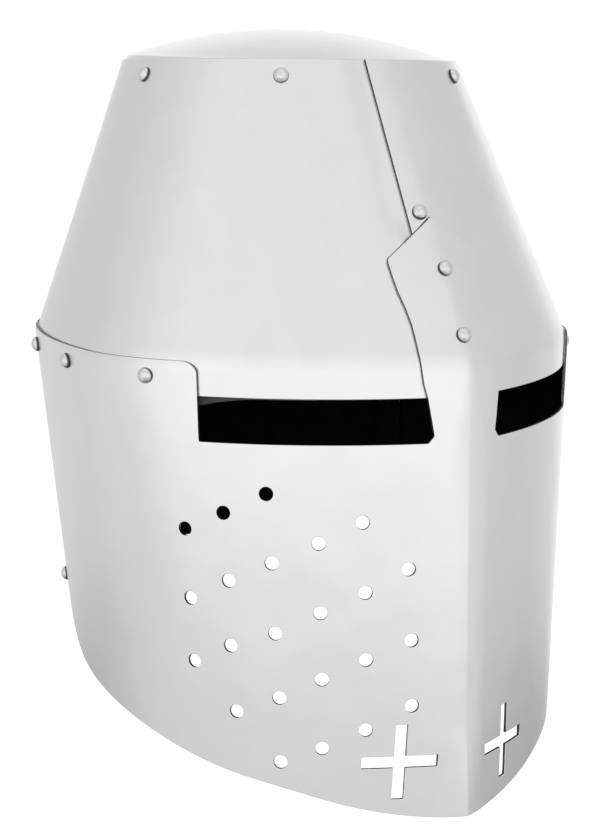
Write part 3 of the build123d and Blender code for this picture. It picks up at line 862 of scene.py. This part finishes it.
def make_cap():
    """A dished cap with its edge turned down inside the cone."""
    dome = (CAP_SPAN ** 2 + CAP_RISE ** 2) / (2 * CAP_RISE)

    def dish(radius):
        return RING + CAP_RISE - dome + (dome ** 2 - radius ** 2) ** 0.5

    foot = RING - CAP_FLANGE
    bend_at = CAP_SPAN - CAP_EDGE
    profile = [(r, dish(r)) for r in steps(0, bend_at, 4.0)]
    shoulder = dish(bend_at)
    for turn in range(1, 7):
        angle = radians(15 * turn)
        profile.append((bend_at + CAP_EDGE * sin(angle), shoulder - CAP_EDGE * (1 - cos(angle))))
    profile += [(CAP_SPAN, foot + CAP_FOOT_ROUND), (CAP_SPAN - CAP_FOOT_ROUND, foot)]
    inside = [(CAP_SPAN - PLATE + CAP_FOOT_ROUND, foot), (CAP_SPAN - PLATE, foot + CAP_FOOT_ROUND)]
    for turn in range(6, 0, -1):
        angle = radians(15 * turn)
        radius = CAP_EDGE - PLATE
        inside.append((bend_at + radius * sin(angle), shoulder - CAP_EDGE + radius * cos(angle)))
    inside += [(r, dish(r) - PLATE) for r in steps(bend_at, 0, 6.0)]
    bm = turned(profile + inside, 128)
    bm.normal_update()
    for face in bm.faces:
        middle = face.calc_center_median()
        towards_axis = face.normal.x * middle.x + face.normal.y * middle.y < -1e-3
        # Inside faces take the near-black painted shade
        face.material_index = 1 if face.normal.z < -0.5 or towards_axis else 0
    flat = np.array([vert.co for vert in bm.verts])
    radius = np.hypot(flat[:, 0], flat[:, 1])
    turn = np.arctan2(np.abs(flat[:, 0]), -flat[:, 1]) / pi
    levels = np.minimum(flat[:, 2], RING)
    rim = skull_cone.at_share(2 * turn, levels, TUCKED)
    middle = np.array([0.0, CAP_MIDDLE])
    grown = middle + (rim - middle) * (radius / CAP_SPAN)[:, None]
    sunk = dish(np.hypot(grown[:, 0], grown[:, 1] - DOME_MIDDLE)) - dish(radius)
    sunk *= np.clip((flat[:, 2] - foot) / (shoulder - CAP_EDGE - foot), 0, 1)
    for vert, (x, y), way, drop in zip(bm.verts, grown, flat[:, 0], sunk):
        vert.co = Vector((x if way >= 0 else -x, y, vert.co.z + drop)) * MM
    piece = finish(mesh_of(bm, "crown_cap_dressed", (STEEL, INSIDE_SHADE)), "crown_cap_dressed", "steel")
    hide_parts("crown_cap")


make_cap()


HEAD_RADIUS = 3.4
HEAD_RISE = 3.0
SHANK_RADIUS = 1.9

# Below this height a rivet takes the dark edge finish, a painted shadow round its foot
RIVET_SHADE_TOP = 0.75


def rivet_profile(grip):
    """Round head, shank and closed end, the sheet's outer face at height zero."""
    turns = [radians(angle) for angle in (0, 10, 20, 30, 40, 50, 60, 68, 75, 81)]
    head = [(HEAD_RADIUS * sin(turn), 0.05 + HEAD_RISE * cos(turn)) for turn in turns]
    head += [(HEAD_RADIUS + 0.02, 0.25), (HEAD_RADIUS - 0.08, 0.05), (SHANK_RADIUS, 0.04)]
    foot = -grip - 0.12
    tail = [(SHANK_RADIUS, foot), (2.85, foot - 0.05), (2.95, foot - 0.3), (2.6, foot - 0.75),
            (1.7, foot - 1.02), (0.0, foot - 1.1)]
    return head + tail


def seat(reach, height, place):
    """Frame on a sheet's outer face: x along it, z outwards."""
    def at(u, v):
        return place(np.array([u]), np.array([v]), np.zeros(1))[0]

    here = Vector(at(reach, height))
    along = Vector(at(reach + 0.5, height) - at(reach - 0.5, height)).normalized()
    up = Vector(at(reach, height + 0.5) - at(reach, height - 0.5))
    out = along.cross(up).normalized()
    up = out.cross(along)
    return Matrix.Translation(here) @ Matrix((along, up, out)).transposed().to_4x4()


def make_rivets(node, seats, grip):
    """One piece for all the rivets of a node, each a little different from the next."""
    whole = bmesh.new()
    for frame_at in seats:
        bm = turned(rivet_profile(grip), 28)
        for face in bm.faces:
            # The foot of each rivet takes the dark edge finish, a painted shadow where it meets the sheet
            face.material_index = 1 if face.calc_center_median().z < RIVET_SHADE_TOP else 0
        wide = random.uniform(0.98, 1.02)
        lean = Matrix.Rotation(random.uniform(-0.03, 0.03), 4, "X")
        turn = Matrix.Rotation(random.uniform(0, tau), 4, "Z")
        squeeze = Matrix.Diagonal((wide, 1 / wide, 1, 1))
        bmesh.ops.transform(bm, matrix=frame_at @ turn @ lean @ squeeze, verts=bm.verts[:])
        bmesh.ops.scale(bm, vec=(MM, MM, MM), verts=bm.verts[:])
        mesh = mesh_of(bm, "rivet", ())
        whole.from_mesh(mesh)
        bpy.data.meshes.remove(mesh)
    name = node + "_dressed"
    piece = finish(mesh_of(whole, name, (RIVET_STEEL, EDGE_SHADE)), name, "rivet_steel")
    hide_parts(node)


def on_skull(u, v, depth):
    return laid(skull_wall, skull_cone, u, v, depth, plain_rule)


LEATHER_GAUGE = 2.2
SOFT_PLAY = 0.3
WASHER = 0.8

# What the rivets hold together: two sheets, three sheets, or sheets and the leather's band
PAIR = 2 * PLATE + LAP_GAP
TRIPLE = 3 * PLATE + 2 * LAP_GAP
LINING = SOFT_PLAY + LEATHER_GAUGE + SOFT_PLAY + WASHER

# Where the rivets sit: arc lengths from the ridge, shares of the rear quarter, or heights
CROWN_RIVETS = RING - 7.0
CROWN_REACHES = (48.5, 120.0, 195.0)
LAP_RIVET = (-3.7, 256.4)
NASAL_HEIGHTS = (233.7, 207.1)
RIM_RIVETS = BROW - 7.1
TEMPLE_REACH = 139.7
TEMPLE_SHARES = (0.07, 0.29)
SEAM_RIVETS = 77.0
SEAM_SHARE = 0.36
NAPE_SHARES = (0.515, 0.748)


def on_both_sides(height, reaches, place):
    return [seat(side * reach, height, place) for side in SIDES for reach in reaches]


def rear_reaches(shares, height):
    """Arc lengths from the ridge to shares of the rear quarter."""
    return [plate_wall.reach(1 + share, height) for share in shares]


temple_seats = on_both_sides(RIM_RIVETS, [TEMPLE_REACH], place_face)
temple_seats += on_both_sides(RIM_RIVETS, rear_reaches(TEMPLE_SHARES, RIM_RIVETS), place_face)
seam_seats = on_both_sides(SEAM_RIVETS, rear_reaches([SEAM_SHARE], SEAM_RIVETS), place_face)
nape_seats = on_both_sides(RIM_RIVETS, rear_reaches(NAPE_SHARES, RIM_RIVETS), place_face)
nape_seats.append(seat(0.0, RIM_RIVETS, place_rear))

make_rivets("crown_rivets", on_both_sides(CROWN_RIVETS, CROWN_REACHES, on_skull), PAIR)
make_rivets("skull_lap_rivet", [seat(*LAP_RIVET, on_skull)], PAIR)
make_rivets("nasal_rivets", [seat(0.0, height, place_face) for height in NASAL_HEIGHTS], TRIPLE)
make_rivets("temple_rivets", temple_seats, PAIR + LINING)
make_rivets("side_seam_rivets", seam_seats, PAIR)
make_rivets("nape_rivets", nape_seats, PAIR + LINING)


# Leather liner

BAND_OUTER = -PLATE - SOFT_PLAY
DEEP_OUTER = TUCKED - PLATE - SOFT_PLAY
BAND_TOP = 193.8
LEATHER_ROUND = 0.6


def band_rule(share, side):
    return DEEP_OUTER + (BAND_OUTER - DEEP_OUTER) * smooth(share, 0.22, 0.36)


def place_band(u, v, depth):
    """Arc length is measured from the ridge."""
    half = skull_wall.half_length(v)
    reach = np.clip(u, -half, half)
    return laid(skull_wall, skull_cone, reach, v, depth, band_rule)


def make_band():
    """One strip of leather round the inside of the brow, closed at the nape."""
    half = skull_wall.reach(2.0, 178.0) - 0.4
    foot = [(s, 185.3 + 0.35 * sin(s * 0.31)) for s in steps(0, 66.0, 5.0)]
    foot += [(72.0, 184.0), (82.2, 181.8), (89.4, 181.3), (97.5, 180.7), (102.7, 180.1), (107.9, 179.3)]
    foot += [(112.9, 178.2), (116.5, 177.7)]
    foot += [(s, 177.3 + 0.45 * sin(s * 0.23)) for s in steps(121.0, half - 3, 5.0)]
    half_strip = foot[1:] + [(half, 179.5), (half, 192.0), (half - 2, BAND_TOP)]
    half_strip += [(s, BAND_TOP) for s in steps(half - 8, 6, 8.0)]
    outline = [foot[0]] + half_strip + [(0, BAND_TOP)] + mirrored(half_strip)
    bm = cut_pattern(outline, [], LEATHER_GAUGE)
    round_rim(bm, LEATHER_ROUND, 3)
    slice_up(bm, steps(-half + 2, half - 2, 4.0), steps(179.0, 192.0, 3.2))
    piece = bend(bm, place_band, "liner_band_dressed", HIDE, "leather")
    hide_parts("liner_band")


make_band()

TONGUE_OUTER = BAND_OUTER - LEATHER_GAUGE - SOFT_PLAY
HEAD_MIDDLE = 28.0

# Share of the rim's distance that a tongue keeps, over its rise to the crown
TIP_SHARE = 0.17
DOME = [(-0.3, 1.0), (0.0, 1.0), (0.3, 0.86), (0.6, 0.66), (0.85, 0.42), (1.0, TIP_SHARE)]
FOOT_HALF = 16.0
TIP_HALF = 3.3
TONGUE_FOOT = 180.0
TONGUE_BEND = 199.0
TONGUE_TOP = 288.0
TONGUE_TURNS = (0.192, 0.403, 0.5525, 0.7, 0.828, 0.9435)

# A tongue's gauge turns upright as it lies over, its foot leans in, and its two edges sag
LAID_OVER = 0.85
FOOT_LEAN = 0.06
EDGE_SAG = 0.9
SAG_HALF = 20.0


def rim_distances():
    """Distance of the tongues' outer face from the middle of the head, for each angle from the face."""
    line = np.linspace(0, 2, SEARCH_COUNT)
    rim = skull_wall.at_share(line, np.full(SEARCH_COUNT, TONGUE_BEND), TONGUE_OUTER)
    away = rim - np.array([0.0, HEAD_MIDDLE])
    return np.arctan2(away[:, 0], -away[:, 1]), np.hypot(away[:, 0], away[:, 1])


def place_tongue(angle):
    """Placing rule for one tongue: u runs across it, v up from its foot to the crown."""
    angles, distances = rim_distances()

    def place(u, v, depth):
        rise = np.clip((v - TONGUE_BEND) / (TONGUE_TOP - TONGUE_BEND), 0, 1)
        share = np.where(v < TONGUE_BEND, 1.0, spline(DOME, rise))
        turn = angle + np.arctan2(u, np.interp(abs(angle), angles, distances) * share)
        away = np.interp(np.minimum(np.abs(turn), tau - np.abs(turn)), angles, distances)
        away = away * share - depth * (1 - LAID_OVER * smooth(rise, 0.35, 1.0))
        away -= FOOT_LEAN * (TONGUE_BEND - np.minimum(v, TONGUE_BEND))
        sag = EDGE_SAG * (u / SAG_HALF) ** 2 * smooth(rise, 0.05, 0.5)
        height = v - depth * smooth(rise, 0.2, 0.9) - sag
        return np.column_stack((away * np.sin(turn), HEAD_MIDDLE - away * np.cos(turn), height))

    return place


def make_tongue(number, angle):
    """A leather tab, sewn to the band and drawn in to the crown."""
    half = []
    for v in steps(TONGUE_FOOT + 0.6, TONGUE_TOP - 1.2, 4.0):
        rise = min(max((v - TONGUE_BEND) / (TONGUE_TOP - TONGUE_BEND), 0), 1)
        share = float(spline(DOME, np.array([rise]))[0]) if v > TONGUE_BEND else 1.0
        half.append((TIP_HALF + (FOOT_HALF - TIP_HALF) * (share - TIP_SHARE) / (1 - TIP_SHARE), v))
    outline = [(0, half[0][1])] + half + [(0, half[-1][1])] + mirrored(half)
    bm = cut_pattern(outline, [], LEATHER_GAUGE)
    round_rim(bm, LEATHER_ROUND, 3)
    slice_up(bm, steps(-18, 18, 3.0), steps(TONGUE_FOOT + 3, TONGUE_TOP - 3, 3.0))
    name = f"liner_tongue_{number}"
    piece = bend(bm, place_tongue(angle), name + "_dressed", HIDE, "leather")
    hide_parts(name)


tongue_turns = [side * pi * turn for side in SIDES for turn in TONGUE_TURNS]
for number, turn in enumerate(tongue_turns, start=1):
    make_tongue(number, turn)


def make_disc():
    """Leather disc that gathers the ends of the tongues."""
    foot = TONGUE_TOP + SOFT_PLAY
    top = foot + LEATHER_GAUGE
    bm = turned([
        (0, top), (10, top), (20, top), (28, top), (31.2, top - 0.1), (31.9, top - 0.8),
        (31.9, foot + 0.8), (31.2, foot + 0.1), (28, foot), (20, foot), (10, foot), (0, foot),
    ], 72)
    bmesh.ops.translate(bm, vec=(0, HEAD_MIDDLE, 0), verts=bm.verts[:])
    bmesh.ops.scale(bm, vec=(MM, MM, MM), verts=bm.verts[:])
    piece = finish(mesh_of(bm, "liner_disc_dressed", (LEATHER,)), "liner_disc_dressed", "leather")
    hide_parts("liner_disc")


make_disc()

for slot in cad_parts["liner_washers"].material_slots:
    slot.material = RIVET_STEEL


# Stage, light and camera

WHITE = (1, 1, 1, 1)
FLOOR = -160.0
FLOOR_HALF = 6.0
FLOOR_GREY = 0.6
FLOOR_GLOW = 0.55

# What metal sees in the floor: its level is lifted a little, and seen from this height in metres
MIRROR_LIFT = 0.06
MIRROR_HEIGHT = 0.1

# The photograph's camera: focal length in its pixels, and its place
FOCUS = 1963.0
PICTURE_WIDTH = 600.0
CAMERA_AT = (-489.4, -755.3, 312.3)
YAW = -0.563
PITCH = 0.173
ROLL = 0.006


def studio_level(nodes, where):
    """Light that comes from a direction: a broad soft key ahead of the wearer's right cheek, a bright
    wall behind the helm, and dim ground."""

    def facing(turn, rise, way):
        """How nearly a way points to a turn round from the front and a rise, both in degrees."""
        turn = radians(turn)
        rise = radians(rise)
        aim = (sin(turn) * cos(rise), -cos(turn) * cos(rise), sin(rise))
        return nodes.add("ShaderNodeVectorMath", {"operation": "DOT_PRODUCT"},
                         {0: way, 1: aim}, output="Value")

    levelled = nodes.add("ShaderNodeVectorMath", {"operation": "MULTIPLY"}, {0: where, 1: (1, 1, 0)})
    levelled = nodes.add("ShaderNodeVectorMath", {"operation": "NORMALIZE"}, {0: levelled})
    front = facing(-34, 0, levelled)
    up = facing(0, 90, where)
    down = up * -1
    key = front.ramp(0.2, 0.7) * (1 - up.ramp(0.0, 1.1)) * (1 - down.ramp(0.12, 0.42))
    ground = down.ramp(0.17, 0.5) * (1 - front.ramp(-0.8, 0.2))
    level = 0.77 + front.ramp(-0.7, 0.4) * 0.13 + key * 0.32 - ground * 0.2
    ahead = front.ramp(-0.2, 0.5)
    level = level - ahead * (down.ramp(0.21, 0.265) * 0.16 - down.ramp(0.275, 0.33) * 0.065)
    level = level - (1 - ahead) * down.ramp(0.28, 0.37) * 0.11
    level = level + up.ramp(0.75, 0.97) * 0.2 - down.ramp(0.5, 0.8) * 0.55
    wall = facing(140, 0, levelled).ramp(0.85, 0.98) * (1 - up.ramp(0.2, 0.8)) * (1 - down.ramp(0.3, 0.7))
    card = facing(78, -17, where).ramp(0.92, 0.99)
    return level + wall * 0.36 - card * 0.08


def make_floor():
    """Pale floor well below the helm. Metal sees the studio's level there instead of the floor."""
    made, nodes = material("pale_floor")
    camera = nodes.add("ShaderNodeLightPath", output="Is Camera Ray")
    glossy = nodes.add("ShaderNodeLightPath", output="Is Glossy Ray")
    place = nodes.add("ShaderNodeTexCoord", output="Object")
    seen_from = (0, 0, -MIRROR_HEIGHT)
    direction = nodes.add("ShaderNodeVectorMath", {"operation": "ADD"}, {0: place, 1: seen_from})
    direction = nodes.add("ShaderNodeVectorMath", {"operation": "NORMALIZE"}, {0: direction})
    grey = (FLOOR_GREY, FLOOR_GREY, FLOOR_GREY, 1)
    diffuse = nodes.add("ShaderNodeBsdfDiffuse", {}, {"Color": grey})
    glow = nodes.add("ShaderNodeEmission", {}, {"Color": WHITE, "Strength": camera * FLOOR_GLOW})
    seen = nodes.add("ShaderNodeAddShader", {}, {0: diffuse, 1: glow})
    level = studio_level(nodes, direction) + MIRROR_LIFT
    reflected = nodes.add("ShaderNodeEmission", {}, {"Color": WHITE, "Strength": level})
    either = nodes.add("ShaderNodeMixShader", {}, {0: glossy, 1: seen, 2: reflected})
    nodes.add("ShaderNodeOutputMaterial", {}, {"Surface": either})
    bm = bmesh.new()
    bmesh.ops.create_grid(bm, x_segments=1, y_segments=1, size=FLOOR_HALF)
    bmesh.ops.translate(bm, vec=(0, 0, FLOOR * MM), verts=bm.verts[:])
    floor = bpy.data.objects.new("floor", mesh_of(bm, "floor", (made,)))
    bpy.context.scene.collection.objects.link(floor)


make_floor()


def make_world():
    """Pale studio, white to the camera."""
    world = bpy.data.worlds.new("studio")
    world.use_nodes = True
    bpy.context.scene.world = world
    nodes = Nodes(world.node_tree)
    level = studio_level(nodes, nodes.add("ShaderNodeTexCoord", output="Generated"))
    camera = nodes.add("ShaderNodeLightPath", output="Is Camera Ray")
    level = level + camera * (1.0 - level)
    glow = nodes.add("ShaderNodeBackground", {}, {"Color": WHITE, "Strength": level})
    nodes.add("ShaderNodeOutputWorld", {}, {"Surface": glow})


make_world()


def make_camera():
    data = bpy.data.cameras.new("camera")
    data.sensor_fit = "HORIZONTAL"
    data.sensor_width = 36.0
    data.lens = FOCUS * data.sensor_width / PICTURE_WIDTH
    data.clip_start = 0.05
    ahead = Vector((-sin(YAW) * cos(PITCH), cos(YAW) * cos(PITCH), -sin(PITCH)))
    right = Vector((cos(YAW), sin(YAW), 0))
    up = right.cross(ahead)
    rolled = right * cos(ROLL) + up * sin(ROLL)
    raised = up * cos(ROLL) - right * sin(ROLL)
    turn = Matrix((rolled, raised, -ahead)).transposed().to_4x4()
    camera = bpy.data.objects.new("camera", data)
    camera.matrix_world = Matrix.Translation(Vector(CAMERA_AT) * MM) @ turn
    bpy.context.scene.collection.objects.link(camera)
    bpy.context.scene.camera = camera


make_camera()
bpy.context.scene.view_settings.view_transform = "Standard"
